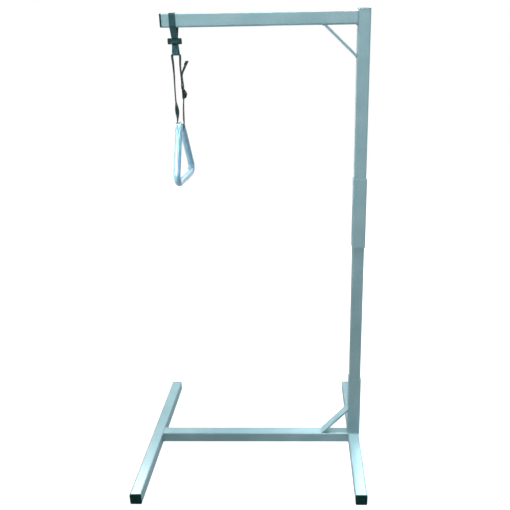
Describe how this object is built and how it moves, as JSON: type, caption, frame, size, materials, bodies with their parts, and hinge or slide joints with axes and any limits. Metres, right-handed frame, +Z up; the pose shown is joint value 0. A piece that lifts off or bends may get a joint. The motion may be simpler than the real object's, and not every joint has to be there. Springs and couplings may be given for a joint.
{
  "type": "bed trapeze",
  "caption": "Free-standing bed trapeze: H-shaped base of square tube, sleeved mast, level boom with a corner brace, and a webbing strap that carries a bent-tube triangle handle",
  "frame": {"origin": "centre of the base on the floor, under the middle of the bounding box", "axes": "+Z up; the boom runs from the mast, at +X, towards -X; the feet run along Y and the picture looks along +Y"},
  "size_m": [0.9086, 0.79, 1.761],
  "materials": {
    "frame_paint": "silver-blue powder coat, satin",
    "black_plastic": "matte black polyethylene",
    "zinc_steel": "zinc-plated steel",
    "bright_metal": "bright plated steel",
    "webbing": "woven black polyester webbing",
    "black_steel": "black coated steel",
    "handle_metal": "smooth silver-blue coated tube"
  },
  "bodies": {
    "base": {"left_foot_tube": "frame_paint", "right_foot_tube": "frame_paint", "cross_tube": "frame_paint", "mast_socket": "frame_paint", "base_brace": "frame_paint", "left_front_foot_cap": "black_plastic", "left_back_foot_cap": "black_plastic", "right_front_foot_cap": "black_plastic", "right_back_foot_cap": "black_plastic", "socket_lower_lock_nut": "frame_paint", "socket_lower_lock_bolt": "zinc_steel", "socket_upper_lock_nut": "frame_paint", "socket_upper_lock_bolt": "zinc_steel"},
    "lower_mast": {"lower_mast": "frame_paint", "mast_sleeve": "frame_paint", "sleeve_lower_lock_nut": "frame_paint", "sleeve_lower_lock_bolt": "zinc_steel", "sleeve_upper_lock_nut": "frame_paint", "sleeve_upper_lock_bolt": "zinc_steel"},
    "upper_mast": {"upper_mast": "frame_paint", "mast_top_plate": "frame_paint", "boom_tube": "frame_paint", "boom_brace": "frame_paint", "boom_end_cap": "black_plastic", "outer_strap_stop": "bright_metal", "inner_strap_stop": "bright_metal", "boom_strap": "webbing", "strap_slide": "black_steel"},
    "bight": {"strap_bight": "webbing", "loop_top": "webbing"},
    "loop": {"loop_left_strand": "webbing", "loop_right_strand": "webbing", "loop_tail": "webbing", "buckle_frame": "black_steel", "buckle_pin": "black_steel", "buckle_spring": "black_steel"},
    "cam": {"buckle_cam": "black_steel"},
    "sling": {"loop_lower_strand": "webbing", "handle_sling": "webbing"},
    "handle": {"handle_tube": "handle_metal"}
  },
  "joints": [
    {"name": "mast_lift", "type": "slide", "parent": "base", "child": "lower_mast", "axis": [0, 0, 1], "range_m": [0, 0.19]},
    {"name": "mast_extension", "type": "slide", "parent": "lower_mast", "child": "upper_mast", "axis": [0, 0, 1], "range_m": [0, 0.08]},
    {"name": "strap_swing", "type": "hinge", "parent": "upper_mast", "child": "bight", "pos_m": [-0.22757, 0, 1.652], "axis": [1, 0, 0], "range_deg": [-30, 30]},
    {"name": "loop_swing", "type": "hinge", "parent": "bight", "child": "loop", "pos_m": [-0.22757, 0, 1.6115], "axis": [0.1392, 0.9903, 0], "range_deg": [-20, 20], "deforming": ["loop_left_strand", "loop_right_strand"]},
    {"name": "loop_length", "type": "slide", "parent": "loop", "child": "sling", "axis": [0, 0, 1], "range_m": [0, 0.06], "deforming": ["loop_left_strand", "loop_lower_strand"]},
    {"name": "handle_swing", "type": "hinge", "parent": "sling", "child": "handle", "pos_m": [-0.23108, 0, 1.3757], "axis": [0.0871, 0.9951, 0.0471], "range_deg": [-75, 75], "deforming": ["handle_sling"]},
    {"name": "cam_release", "type": "hinge", "parent": "loop", "child": "cam", "pos_m": [-0.20518, 0.00059, 1.4905], "axis": [-0.0262, 0.9997, 0], "range_deg": [0, 18], "stiffness_Nm_per_rad": 0.02, "springref_deg": -20.05, "deforming": ["buckle_spring"]}
  ]
}
